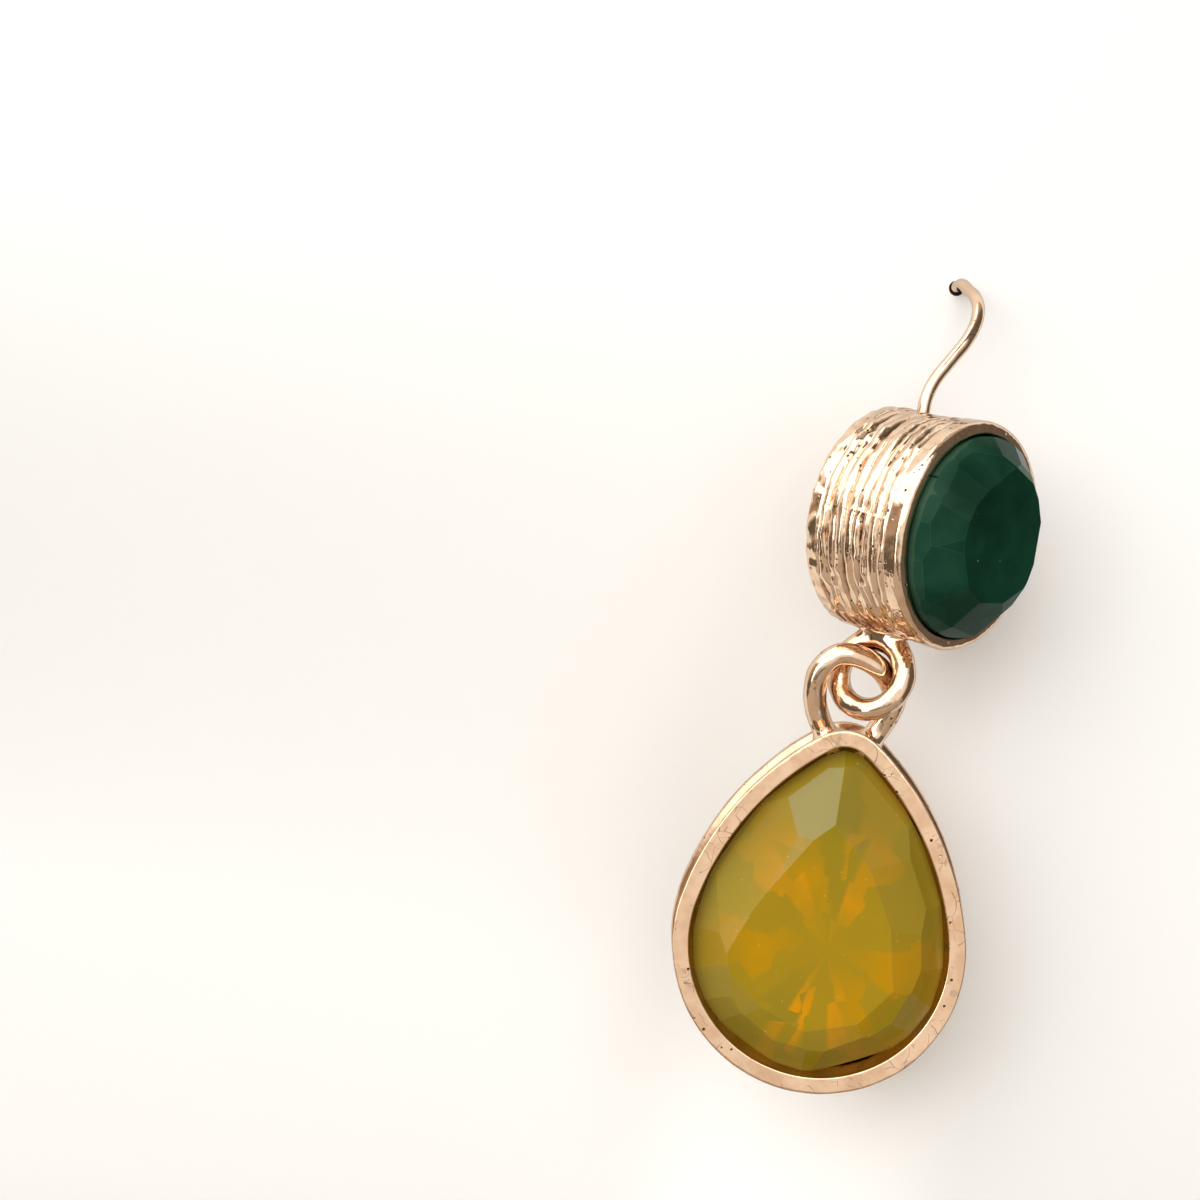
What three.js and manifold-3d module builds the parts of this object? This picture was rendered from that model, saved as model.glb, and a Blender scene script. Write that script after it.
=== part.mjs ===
import * as THREE from 'three';
import { mergeVertices } from 'three/addons/utils/BufferGeometryUtils.js';
import Module from 'manifold-3d';

// A drop earring in rose gold: an ear hook soldered to a deep ribbed oval setting with a green stone,
// and below it, on two thick interlocked loops, a pear-shaped setting with an amber stone.
// Millimetres, +Z up, front toward -Y. The origin is the inside top of the hook's arch, where it hangs.

const wasm = await Module();
wasm.setup();

// Driving dimensions: the hook
const WIRE_DIAMETER = 0.81;
const FRONT_LEG = 9.05;
const ARCH_RADIUS = 5.0;
const ARCH_TURN = 7.3;
const REAR_LEG = 11.5;
const REAR_FLICK = 1.0;
const HOOK_STEPS = 44;
const WIRE_SIDES = 10;

// Driving dimensions: the oval setting, turned to the wearer's side and nodding down a little
const OVAL_WIDTH = 13.2;
const OVAL_HEIGHT = 13.9;
const OVAL_DEPTH = 7.3;
const OVAL_RIM = 0.8;
const OVAL_TURN = 43;
const OVAL_NOD = 5;
const OVAL_CENTRE = new THREE.Vector3(-0.95, -7.0, -FRONT_LEG - OVAL_HEIGHT / 2);
const OVAL_SIDES = 40;
const FLANGE = 0.9;
const FRONT_BAND = 1.2;
const RIB_COUNT = 6;
const RIB_DEPTH = 0.32;
const WAIST = 0.12;

// Driving dimensions: the pear-shaped setting, measured on its opening
const PEAR_RADIUS = 7.9;
const PEAR_TIP_HEIGHT = 12.4;
const PEAR_TIP_RADIUS = 1.8;
const PEAR_SHOULDER = 12;
const PEAR_RIM = 1.05;
const PEAR_DEPTH = 4.6;
const PEAR_FLARE = 0.3;
const PEAR_WAIST = 0.2;
const PEAR_TURN = -6;
const PEAR_LEAN = -0.8;

// Driving dimensions: both settings' backs and seats
const BACK_PLATE = 0.8;
const SEAT_WIDTH = 0.6;
const SEAT_DROP = 0.5;
const STONE_GAP = 0.3;
const EDGE = 0.12;

// Driving dimensions: the cut stones
const GIRDLE = 0.3;
const OVAL_PROUD = 0.55;
const FACETS = 8;
const OVAL_CROWN = 1.3;
const OVAL_PAVILION = 2.6;
const OVAL_TABLE = 0.56;
const PEAR_CROWN = 1.4;
const PEAR_PAVILION = 2.2;
const PEAR_TABLE = 0.64;

// Driving dimensions: the two loops, interlocked side by side with a small clearance. The upper one is
// a ring under the oval setting; the lower one is an open loop whose two feet stand on the pear's tip.
const LOOP_WIRE = 1.44;
const LOOP_CLEARANCE = 0.15;
const LOOP_SIDES = 16;
const LOOP_WIRE_SIDES = 6;
const UPPER_LOOP_RADIUS = 2.2;
const UPPER_LOOP_SUNK = 0.46;
const UPPER_LOOP_SIDE = -2.38;
const UPPER_LOOP_FRONT = 5.7;
const UPPER_LOOP_TURN = -36.1;
const UPPER_LOOP_TILT = 10;
const LOWER_LOOP_WIDTH = 5.17;
const LOWER_LOOP_HEIGHT = 5.6;
const LOWER_LOOP_REACH = 1.81;
const LOWER_LOOP_SIDE = -0.47;
const LOWER_LOOP_BACK = 1.42;
const LOWER_LOOP_RISE = 0.96;
const UPPER_SOLDER = { width: 1.1, depth: 1.15, height: 0.7 };
const FOOT_SOLDER = { width: 0.95, depth: 0.95, height: 0.55 };

const UPPER_LOOP_CENTRE = new THREE.Vector3(
  UPPER_LOOP_SIDE,
  -UPPER_LOOP_FRONT,
  OVAL_CENTRE.z - OVAL_HEIGHT / 2 + UPPER_LOOP_SUNK - LOOP_WIRE / 2 - UPPER_LOOP_RADIUS,
);

// The pear's tip hangs below the upper loop by as much as the lower loop is tall
const PEAR_TIP = UPPER_LOOP_CENTRE.clone()
  .add(new THREE.Vector3(LOWER_LOOP_SIDE, LOWER_LOOP_BACK, LOWER_LOOP_RISE - LOWER_LOOP_HEIGHT));

// The lower loop's bends from its left foot to its right one, measured from the pear's tip: shares of
// its width sideways, of its reach to the front and of its height
const LOWER_LOOP_BENDS = [
  { side: -0.27, reach: 0.01, rise: 0.05 },
  { side: -0.49, reach: 0.46, rise: 0.4 },
  { side: -0.53, reach: 0.81, rise: 0.75 },
  { side: -0.34, reach: 1, rise: 0.98 },
  { side: 0, reach: 0.96, rise: 0.98 },
  { side: 0.3, reach: 0.7, rise: 0.82 },
  { side: 0.435, reach: 0.41, rise: 0.56 },
  { side: 0.34, reach: 0.14, rise: 0.27 },
  { side: 0.24, reach: 0.01, rise: 0.08 },
];

// The front leg's bends: shares of the way from the foot to the top of the arch, up, sideways and back
const LEG_BENDS = [
  { rise: 0.15, sway: -0.02, back: 0.01 },
  { rise: 0.28, sway: 0.16, back: 0.04 },
  { rise: 0.43, sway: 0.61, back: 0.1 },
  { rise: 0.57, sway: 1.05, back: 0.17 },
  { rise: 0.7, sway: 1.31, back: 0.27 },
  { rise: 0.8, sway: 1.36, back: 0.38 },
  { rise: 0.88, sway: 1.29, back: 0.54 },
  { rise: 0.94, sway: 1.16, back: 0.75 },
];
const FOOT_BACK = 1.42;

const radians = THREE.MathUtils.degToRad;

// A placement that tilts a piece's front up, leans its top sideways, turns it about +Z and moves it
function placement(position, turn, tilt = 0, lean = 0) {
  const rotation = new THREE.Euler(-radians(tilt), radians(lean), radians(turn), 'ZYX');
  return new THREE.Matrix4().compose(
    position,
    new THREE.Quaternion().setFromEuler(rotation),
    new THREE.Vector3(1, 1, 1),
  );
}

// A closed body through rings of equally many points, capped at both ends
function loft(rings) {
  const count = rings[0].length;
  const positions = rings.flat().flatMap((point) => point.toArray());
  const faces = [];
  for (let ring = 0; ring + 1 < rings.length; ring++) {
    for (let i = 0; i < count; i++) {
      const a = ring * count + i;
      const b = ring * count + ((i + 1) % count);
      faces.push(a, b, b + count, a, b + count, a + count);
    }
  }
  const last = (rings.length - 1) * count;
  for (let i = 1; i + 1 < count; i++) {
    faces.push(0, i + 1, i, last, last + i, last + i + 1);
  }
  const geometry = new THREE.BufferGeometry();
  geometry.setAttribute('position', new THREE.Float32BufferAttribute(positions, 3));
  geometry.setIndex(faces);
  return geometry;
}

// A manifold solid of a closed geometry, placed by a matrix
function solidOf(geometry, matrix) {
  const bare = geometry.clone();
  bare.deleteAttribute('normal');
  bare.deleteAttribute('uv');
  bare.applyMatrix4(matrix);
  const merged = mergeVertices(bare, 1e-4);
  return new wasm.Manifold(new wasm.Mesh({
    numProp: 3,
    vertProperties: new Float32Array(merged.attributes.position.array),
    triVerts: new Uint32Array(merged.index.array),
  }));
}

// The geometry of a manifold solid
function geometryOf(solid) {
  const result = solid.getMesh();
  const geometry = new THREE.BufferGeometry();
  geometry.setAttribute('position', new THREE.Float32BufferAttribute(result.vertProperties, 3));
  geometry.setIndex(Array.from(result.triVerts));
  geometry.computeVertexNormals();
  return geometry;
}

// The oval outline grown by an offset, at a distance from the back of the setting
function ovalRing(offset, fromBack) {
  const ring = [];
  for (let i = 0; i < OVAL_SIDES; i++) {
    const angle = (i / OVAL_SIDES) * Math.PI * 2;
    ring.push(new THREE.Vector3(
      (OVAL_WIDTH / 2 + offset) * Math.cos(angle),
      OVAL_DEPTH / 2 - fromBack,
      (OVAL_HEIGHT / 2 + offset) * Math.sin(angle),
    ));
  }
  return ring;
}

// Points along an arc in the XZ plane, without its last point
function arc(centreX, centreZ, radius, from, to, steps) {
  const points = [];
  for (let i = 0; i < steps; i++) {
    const angle = from + ((to - from) * i) / steps;
    points.push([centreX + radius * Math.cos(angle), centreZ + radius * Math.sin(angle)]);
  }
  return points;
}

// The pear outline: a round bottom, two long flanks and a small round tip, all tangent to each other
function pearOutline(offset) {
  const shoulder = radians(PEAR_SHOULDER);
  const tipCentre = PEAR_TIP_HEIGHT - PEAR_TIP_RADIUS;
  const spread = PEAR_RADIUS - PEAR_TIP_RADIUS;
  const reach = (tipCentre ** 2 - spread ** 2) / (2 * (spread - tipCentre * Math.sin(shoulder)));
  const flankRadius = PEAR_RADIUS + reach;
  const flankX = -reach * Math.cos(shoulder);
  const flankZ = -reach * Math.sin(shoulder);
  const tip = Math.atan2(tipCentre - flankZ, -flankX);
  return [
    ...arc(flankX, flankZ, flankRadius + offset, shoulder, tip, 10),
    ...arc(0, tipCentre, PEAR_TIP_RADIUS + offset, tip, Math.PI - tip, 6),
    ...arc(-flankX, flankZ, flankRadius + offset, Math.PI - tip, Math.PI - shoulder, 10),
    ...arc(0, 0, PEAR_RADIUS + offset, Math.PI - shoulder, 2 * Math.PI + shoulder, 22),
  ];
}

// The pear outline as a ring at a distance from the back of the setting
function pearRing(offset, fromBack) {
  return pearOutline(offset).map(([x, z]) => new THREE.Vector3(x, PEAR_DEPTH / 2 - fromBack, z));
}

// The inner rings of a setting: the opening, the sloping seat and the hollow down to the back plate
function seatRings(ringAt, openingOffset, depth) {
  const seat = depth - GIRDLE - 2 * STONE_GAP;
  return [
    ringAt(openingOffset, depth),
    ringAt(openingOffset, seat),
    ringAt(openingOffset - SEAT_WIDTH, seat - SEAT_DROP),
    ringAt(openingOffset - SEAT_WIDTH, BACK_PLATE),
  ];
}

// The oval cup: back flange, a waisted wall of stacked ribs, a smooth front band and the seat
function ovalCup() {
  const ribbed = OVAL_DEPTH - FLANGE - FRONT_BAND;
  const pitch = ribbed / RIB_COUNT;
  const rings = [ovalRing(-EDGE, 0), ovalRing(0, EDGE), ovalRing(0, FLANGE - EDGE)];
  for (let rib = 0; rib < RIB_COUNT; rib++) {
    const start = FLANGE + rib * pitch;
    const across = (rib + 0.5) / RIB_COUNT;
    const crest = -WAIST * Math.sin(Math.PI * across);
    rings.push(ovalRing(crest - RIB_DEPTH, start));
    rings.push(ovalRing(crest, start + pitch * 0.3));
    rings.push(ovalRing(crest, start + pitch * 0.7));
  }
  rings.push(ovalRing(-RIB_DEPTH, OVAL_DEPTH - FRONT_BAND));
  rings.push(ovalRing(-EDGE, OVAL_DEPTH - FRONT_BAND + RIB_DEPTH));
  rings.push(ovalRing(0, OVAL_DEPTH - EDGE));
  rings.push(ovalRing(-EDGE, OVAL_DEPTH));
  return loft([...rings, ...seatRings(ovalRing, -OVAL_RIM, OVAL_DEPTH)]);
}

// The pear cup: a flared back edge, a slightly waisted wall, the flat front rim and the seat
function pearCup() {
  const rings = [
    pearRing(PEAR_RIM + PEAR_FLARE - EDGE, 0),
    pearRing(PEAR_RIM + PEAR_FLARE, EDGE),
    pearRing(PEAR_RIM + PEAR_FLARE, BACK_PLATE - EDGE),
    pearRing(PEAR_RIM - PEAR_WAIST, BACK_PLATE + PEAR_FLARE),
    pearRing(PEAR_RIM - PEAR_WAIST, PEAR_DEPTH - BACK_PLATE),
    pearRing(PEAR_RIM, PEAR_DEPTH - EDGE - PEAR_WAIST),
    pearRing(PEAR_RIM, PEAR_DEPTH - EDGE),
    pearRing(PEAR_RIM - EDGE, PEAR_DEPTH),
  ];
  return loft([...rings, ...seatRings(pearRing, 0, PEAR_DEPTH)]);
}

// A cut stone inside a ring: table, star, kite and girdle facets above, a pointed pavilion below
function cutStone(girdleRing, girdle, tableShare, crown, pavilion) {
  const count = girdleRing.length;
  const centre = new THREE.Vector3();
  for (const point of girdleRing) centre.addScaledVector(point, 1 / count);
  const at = (share) => Math.round(share * count) % count;
  const inward = (point, share, rise) => {
    const moved = centre.clone().lerp(point, share);
    moved.y -= rise;
    return moved;
  };
  const points = [];
  const add = (point) => points.push(point) - 1;
  const upper = girdleRing.map((point) => add(point.clone()));
  const lower = girdleRing.map((point) => add(inward(point, 1, -girdle)));
  const table = [];
  const middle = [];
  for (let i = 0; i < FACETS; i++) {
    const corner = girdleRing[at(i / FACETS)];
    const between = girdleRing[at((i + 0.5) / FACETS)];
    table.push(add(inward(corner, tableShare, crown)));
    middle.push(add(inward(between, (1 + tableShare) / 2, crown * 0.6)));
  }
  const top = add(inward(centre, 1, crown));
  const culet = add(inward(centre, 1, -girdle - pavilion));
  const faces = [];
  const fanToGirdle = (apex, from, to) => {
    for (let i = from; i !== to; i = (i + 1) % count) faces.push(apex, upper[i], upper[(i + 1) % count]);
  };
  for (let i = 0; i < FACETS; i++) {
    const next = (i + 1) % FACETS;
    const corner = at(i / FACETS);
    const nextCorner = at((i + 1) / FACETS);
    faces.push(top, table[i], table[next]);
    faces.push(table[i], middle[i], table[next]);
    faces.push(table[i], upper[corner], middle[i]);
    faces.push(table[next], middle[i], upper[nextCorner]);
    fanToGirdle(middle[i], corner, nextCorner);
  }
  for (let i = 0; i < count; i++) {
    const next = (i + 1) % count;
    faces.push(upper[i], lower[i], lower[next], upper[i], lower[next], upper[next]);
    faces.push(lower[i], culet, lower[next]);
  }
  const geometry = new THREE.BufferGeometry();
  geometry.setAttribute('position',
    new THREE.Float32BufferAttribute(points.flatMap((point) => point.toArray()), 3));
  geometry.setIndex(faces);
  return geometry;
}

// The hook's centre line: out of the oval's top wall, an S bend, the arch and the rear leg
function hookCurve() {
  const up = new THREE.Vector3(0, 0, 1);
  const turn = radians(ARCH_TURN);
  const back = new THREE.Vector3(-Math.sin(turn), Math.cos(turn), 0);
  const archCentre = up.clone().multiplyScalar(WIRE_DIAMETER / 2 - ARCH_RADIUS);
  const onArch = (degrees) => archCentre.clone()
    .addScaledVector(back, -ARCH_RADIUS * Math.cos(radians(degrees)))
    .addScaledVector(up, ARCH_RADIUS * Math.sin(radians(degrees)));
  const facing = new THREE.Vector3(Math.sin(radians(OVAL_TURN)), -Math.cos(radians(OVAL_TURN)), 0);
  const foot = OVAL_CENTRE.clone()
    .addScaledVector(facing, -FOOT_BACK)
    .addScaledVector(up, OVAL_HEIGHT / 2 - OVAL_RIM);
  const top = onArch(90);
  const legPoint = (bend) => new THREE.Vector3(
    THREE.MathUtils.lerp(foot.x, top.x, bend.sway),
    THREE.MathUtils.lerp(foot.y, top.y, bend.back),
    THREE.MathUtils.lerp(foot.z, top.z, bend.rise),
  );
  const arch = [top];
  for (let degrees = 112; degrees < 180; degrees += 22) arch.push(onArch(degrees));
  const rear = onArch(180);
  const rearPoint = (share) => rear.clone().addScaledVector(up, -REAR_LEG * share);
  const end = rearPoint(1).addScaledVector(back, REAR_FLICK);
  return new THREE.CatmullRomCurve3([
    foot,
    ...LEG_BENDS.map(legPoint),
    ...arch,
    rearPoint(0.2),
    rearPoint(0.65),
    end,
  ]);
}

// A round wire along a curve
function wire(curve, diameter, sides, steps) {
  const section = new THREE.Shape();
  section.absarc(0, 0, diameter / 2, 0, Math.PI * 2);
  return new THREE.ExtrudeGeometry(section, {
    steps,
    curveSegments: sides / 2,
    extrudePath: curve,
    bevelEnabled: false,
  });
}

// The upper loop, a closed ring standing in the XZ plane
function upperLoop() {
  const ring = new THREE.TorusGeometry(UPPER_LOOP_RADIUS, LOOP_WIRE / 2, LOOP_WIRE_SIDES, LOOP_SIDES);
  return ring.rotateX(Math.PI / 2);
}

// A point moved off the upper loop's centre line until two wires have their clearance there
function clearOfUpperLoop(point) {
  const local = point.clone().applyMatrix4(UPPER_LOOP_PLACE.clone().invert());
  const nearest = new THREE.Vector3(local.x, 0, local.z).setLength(UPPER_LOOP_RADIUS);
  const away = local.sub(nearest);
  away.setLength(Math.max(away.length(), LOOP_WIRE + LOOP_CLEARANCE));
  return nearest.add(away).applyMatrix4(UPPER_LOOP_PLACE);
}

// The lower loop's centre line
function lowerLoopCurve() {
  const bends = LOWER_LOOP_BENDS.map((bend) => new THREE.Vector3(
    PEAR_TIP.x + LOWER_LOOP_WIDTH * bend.side,
    PEAR_TIP.y - LOWER_LOOP_REACH * bend.reach,
    PEAR_TIP.z + LOWER_LOOP_HEIGHT * bend.rise,
  ));
  const route = new THREE.CatmullRomCurve3(bends).getPoints(LOOP_SIDES);
  return new THREE.CatmullRomCurve3(route.map(clearOfUpperLoop));
}

// A rounded lump of solder, its sizes measured from its middle
function solder({ width, depth, height }) {
  return new THREE.SphereGeometry(1, 12, 8).scale(width, depth, height);
}

const OVAL_PLACE = placement(OVAL_CENTRE, OVAL_TURN, -OVAL_NOD);
const PEAR_PLACE = placement(PEAR_TIP, PEAR_TURN, 0, PEAR_LEAN)
  .multiply(new THREE.Matrix4().makeTranslation(0, 0, -PEAR_TIP_HEIGHT));
const UPPER_LOOP_PLACE = placement(UPPER_LOOP_CENTRE, UPPER_LOOP_TURN, UPPER_LOOP_TILT);
const LEVEL = new THREE.Matrix4();

// The upper half's soldered metal: oval cup, hook wire, upper loop and its solder
function ovalSetting() {
  const joint = UPPER_LOOP_CENTRE.clone();
  joint.z = OVAL_CENTRE.z - OVAL_HEIGHT / 2;
  return geometryOf(solidOf(ovalCup(), OVAL_PLACE)
    .add(solidOf(wire(hookCurve(), WIRE_DIAMETER, WIRE_SIDES, HOOK_STEPS), LEVEL))
    .add(solidOf(upperLoop(), UPPER_LOOP_PLACE))
    .add(solidOf(solder(UPPER_SOLDER), placement(joint, OVAL_TURN))));
}

// The drop's soldered metal: pear cup, lower loop and the solder at its two feet
function pearSetting() {
  const curve = lowerLoopCurve();
  let metal = solidOf(pearCup(), PEAR_PLACE)
    .add(solidOf(wire(curve, LOOP_WIRE, LOOP_WIRE_SIDES, LOOP_SIDES), LEVEL));
  for (const end of [0, 1]) {
    metal = metal.add(solidOf(solder(FOOT_SOLDER), placement(curve.getPointAt(end), PEAR_TURN)));
  }
  return geometryOf(metal);
}

const ROSE_GOLD = { color: new THREE.Color(0.86, 0.62, 0.47), roughness: 0.2, metalness: 1 };
const DARK_GREEN = { color: new THREE.Color(0.03, 0.15, 0.1), roughness: 0.12, metalness: 0 };
const AMBER = { color: new THREE.Color(0.62, 0.47, 0.06), roughness: 0.08, metalness: 0 };

function piece(name, geometry, look) {
  const mesh = new THREE.Mesh(geometry, new THREE.MeshStandardMaterial(look));
  mesh.name = name;
  return mesh;
}

// A stone placed in its setting's own frame
function seated(name, geometry, place, look) {
  const stone = piece(name, geometry, look);
  stone.applyMatrix4(place);
  return stone;
}

// The oval stone's upper girdle edge stands proud of the rim; the pear's lies just below it
function ovalStone() {
  const girdleRing = ovalRing(-OVAL_RIM - STONE_GAP, OVAL_DEPTH + OVAL_PROUD);
  return cutStone(girdleRing, GIRDLE + STONE_GAP + OVAL_PROUD, OVAL_TABLE, OVAL_CROWN, OVAL_PAVILION);
}

function pearStone() {
  const girdleRing = pearRing(-STONE_GAP, PEAR_DEPTH - STONE_GAP);
  return cutStone(girdleRing, GIRDLE, PEAR_TABLE, PEAR_CROWN, PEAR_PAVILION);
}

const earring = new THREE.Group();
const top = new THREE.Group();
const drop = new THREE.Group();
top.add(piece('hook_and_oval_setting', ovalSetting(), ROSE_GOLD));
top.add(seated('oval_stone', ovalStone(), OVAL_PLACE, DARK_GREEN));
drop.add(piece('pear_setting', pearSetting(), ROSE_GOLD));
drop.add(seated('pear_stone', pearStone(), PEAR_PLACE, AMBER));
earring.add(top, drop);

export default earring;
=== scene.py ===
"""The looks of the drop earring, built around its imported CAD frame.

Shapes are worked out in millimetres and become metres when a mesh is made. +Z is up and the front
is toward -Y, as in the frame. Each setting has a local frame of its own: X across, Z up, and depth
measured from its back along -Y.
"""

import math

import bmesh
import bpy
import numpy as np
import openvdb
from mathutils import Matrix, Vector, noise


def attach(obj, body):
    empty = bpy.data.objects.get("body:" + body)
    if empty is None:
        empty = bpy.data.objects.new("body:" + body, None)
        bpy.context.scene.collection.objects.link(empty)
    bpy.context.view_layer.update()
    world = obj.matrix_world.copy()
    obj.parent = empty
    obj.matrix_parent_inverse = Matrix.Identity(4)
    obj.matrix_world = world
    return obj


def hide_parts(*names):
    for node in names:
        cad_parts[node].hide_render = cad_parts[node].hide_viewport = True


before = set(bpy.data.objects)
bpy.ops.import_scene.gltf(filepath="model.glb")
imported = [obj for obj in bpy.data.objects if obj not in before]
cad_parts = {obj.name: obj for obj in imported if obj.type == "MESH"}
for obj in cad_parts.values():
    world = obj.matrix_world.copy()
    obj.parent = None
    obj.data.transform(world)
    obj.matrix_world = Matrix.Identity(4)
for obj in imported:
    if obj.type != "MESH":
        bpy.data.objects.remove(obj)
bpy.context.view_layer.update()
scene = bpy.context.scene

MM = 0.001

# Sizes of the hook, as in the frame
WIRE_DIAMETER = 0.81
ARCH_RADIUS = 5.0
ARCH_TURN = 7.3
REAR_LEG = 11.5
REAR_FLICK = 1.0
FOOT_BACK = 1.42

# The front leg's bends: shares of the way from the foot to the top of the arch, up, sideways and back
LEG_BENDS = [
    (0.15, -0.02, 0.01), (0.28, 0.16, 0.04), (0.43, 0.61, 0.10), (0.57, 1.05, 0.17),
    (0.70, 1.31, 0.27), (0.80, 1.36, 0.38), (0.88, 1.29, 0.54), (0.94, 1.16, 0.75),
]

# Sizes of the oval setting
OVAL_WIDTH = 13.2
OVAL_HEIGHT = 13.9
OVAL_DEPTH = 7.3
OVAL_RIM = 0.8
OVAL_TURN = 43
OVAL_NOD = 5
OVAL_CENTRE = Vector((-0.95, -7.0, -16.0))
FLANGE = 0.9
FRONT_BAND = 1.2
WAIST = 0.12

# The grooves between the hammered ribs: share of the ribbed width, depth, how far each one wanders
GROOVES = [
    (0.00, 0.34, 0.010), (0.13, 0.42, 0.022), (0.245, 0.12, 0.026), (0.36, 0.48, 0.026),
    (0.495, 0.14, 0.030), (0.63, 0.46, 0.024), (0.72, 0.38, 0.020), (0.87, 0.42, 0.018),
    (1.00, 0.28, 0.006),
]

# How far a groove lies below the wall where the painted shade in it starts and where it is full
HOLLOW_STARTS = 0.16
HOLLOW_FULL = 0.42

# How close two pieces are where the painted shade between them starts, and how full it gets where they
# touch
CREVICE = 0.75
CREVICE_SHADE = 0.85

# Sizes of the pear setting
PEAR_RADIUS = 7.9
PEAR_TIP_HEIGHT = 12.4
PEAR_TIP_RADIUS = 1.8
PEAR_SHOULDER = 12
PEAR_RIM = 1.05
PEAR_DEPTH = 4.6
PEAR_FLARE = 0.3
PEAR_WAIST = 0.2
PEAR_CENTRE = Vector((-2.68, -4.3, -42.45))
PEAR_TURN = -6
PEAR_LEAN = -0.8

# Sizes shared by both settings and the stones
BACK_PLATE = 0.8
SEAT_WIDTH = 0.6
SEAT_DROP = 0.5
OVAL_STONE_GAP = 0.06
PEAR_STONE_GAP = 0.09
GIRDLE = 0.3
OVAL_PROUD = 0.55
OVAL_CROWN = 1.3
PEAR_CROWN = 1.4

# The stones' facets next to the table: azimuth, reach at the table's height, slope, paleness. The paleness
# is a painted reflection, how bright the stone looks through the facet. The green stone's last three are
# narrow pale ones along its upper left edge, a painted highlight.
GREEN_FACETS = [
    (7, 4.05, 34, 0.14), (72, 4.4, 30, 1.0), (118, 3.95, 29, 0.05), (130, 3.45, 27, 0.07),
    (143, 3.3, 25, 0.13), (162, 3.2, 23, 0.17), (180, 3.1, 24, 0.08), (-165, 3.05, 22, 0.02),
    (-148, 3.0, 25, 0.06), (-117, 3.4, 27, 0.08), (-83, 3.6, 30, 0.04), (-56, 3.95, 24, 0.02),
    (-24, 4.35, 26, 0.02), (125, 4.8, 50, 0.34), (143, 4.7, 50, 0.42), (161, 4.6, 50, 0.3),
]
AMBER_FACETS = [
    (47, 5.55, 25, 0.14), (27, 4.55, 23, 0.08), (11, 4.4, 21, 0.03), (-38, 4.8, 24, 0.02),
    (-72, 4.7, 23, 0.10), (-110, 4.7, 24, 0.05), (-127, 4.9, 22, 0.14), (-171, 5.7, 34, 0.05),
    (158, 4.62, 24, 0.10), (151, 4.6, 30, 0.12), (147, 4.66, 22, 0.30), (134, 5.63, 26, 0.72),
]
GREEN_TABLE_TONE = 0.0
AMBER_TABLE_TONE = 0.0
BLANK_TONE = 0.3

# The second row of facets: how many, how far inside the outline they meet the table's height, slope
GREEN_GIRDLE = 18
AMBER_GIRDLE = 20
GIRDLE_REACH = 2.35
GIRDLE_SLOPE = 46

# The thin rounded edges between facets, painted pale as highlights: the least angle that shows one, its
# width and its paleness
EDGE_ANGLE = math.radians(4)
EDGE_WIDTH = 0.016
EDGE_TONE = 0.24

# Sizes of the two loops, the waves of their hand-bent wire and the fillets of their solder
LOOP_WIRE = 1.44
WIRE_WAVES = 0.03
UPPER_FILLET = 1.0
LOWER_FILLET = 0.8
MOUND_FILLET = 0.7
UPPER_LOOP_RADIUS = 2.2
UPPER_LOOP_CENTRE = Vector((-2.38, -5.7, -25.41))
UPPER_LOOP_TURN = -36.1
UPPER_LOOP_TILT = 10
LOWER_LOOP_WIDTH = 5.17
LOWER_LOOP_HEIGHT = 5.6
LOWER_LOOP_REACH = 1.81
PEAR_TIP = Vector((-2.85, -4.28, -30.05))

# The step of the grids that the loops are meshed on
GRID_STEP = 0.06

# The lower loop's bends from its left foot to its right one, measured from the pear's tip: shares of
# its width sideways, of its reach to the front and of its height
LOWER_LOOP_BENDS = [
    (-0.27, 0.01, 0.05), (-0.49, 0.46, 0.40), (-0.53, 0.81, 0.75), (-0.34, 1.00, 0.98),
    (0.00, 0.96, 0.98), (0.30, 0.70, 0.82), (0.435, 0.41, 0.56), (0.34, 0.14, 0.27),
    (0.24, 0.01, 0.08),
]

# The camera: a long lens from the lower left, rolled a little to its left
CAMERA_PLACE = Vector((-19.65, -117.0, -23.7))
CAMERA_ROLL = 9.7
FOCAL_LENGTH = 54.12
SENSOR = 36.0


def placement(position, turn, tilt=0.0, lean=0.0):
    """Tilts a piece's front up, leans its top sideways, turns it about +Z and moves it."""
    return (
        Matrix.Translation(position)
        @ Matrix.Rotation(math.radians(turn), 4, "Z")
        @ Matrix.Rotation(math.radians(lean), 4, "Y")
        @ Matrix.Rotation(math.radians(-tilt), 4, "X")
    )


OVAL_PLACE = placement(OVAL_CENTRE, OVAL_TURN, -OVAL_NOD)
PEAR_PLACE = placement(PEAR_CENTRE, PEAR_TURN, 0, PEAR_LEAN)
UPPER_LOOP_PLACE = placement(UPPER_LOOP_CENTRE, UPPER_LOOP_TURN, UPPER_LOOP_TILT)


def new_piece(name, points, faces, place=None, smooth=True):
    """A mesh object of points in millimetres, placed by a matrix."""
    place = place or Matrix.Identity(4)
    mesh = bpy.data.meshes.new(name)
    mesh.from_pydata([(place @ Vector(point)) * MM for point in points], [], faces)
    mesh.validate()
    if smooth:
        mesh.shade_smooth()
    else:
        mesh.shade_flat()
    obj = bpy.data.objects.new(name, mesh)
    scene.collection.objects.link(obj)
    return obj


def bridge(rings):
    """Points and quads through rings of equally many points; the end rings stay open."""
    count = len(rings[0])
    points = [point for ring in rings for point in ring]
    faces = []
    for ring in range(len(rings) - 1):
        for i in range(count):
            j = (i + 1) % count
            low, high = ring * count, (ring + 1) * count
            faces.append((low + i, low + j, high + j, high + i))
    return points, faces


def close_ends(rings, points, faces):
    """Adds a fan over the first ring and over the last one."""
    count = len(rings[0])
    for ring, turned in ((0, True), (len(rings) - 1, False)):
        middle = len(points)
        points.append(sum((Vector(p) for p in rings[ring]), Vector()) / count)
        for i in range(count):
            a, b = ring * count + i, ring * count + (i + 1) % count
            faces.append((b, a, middle) if turned else (a, b, middle))


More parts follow.
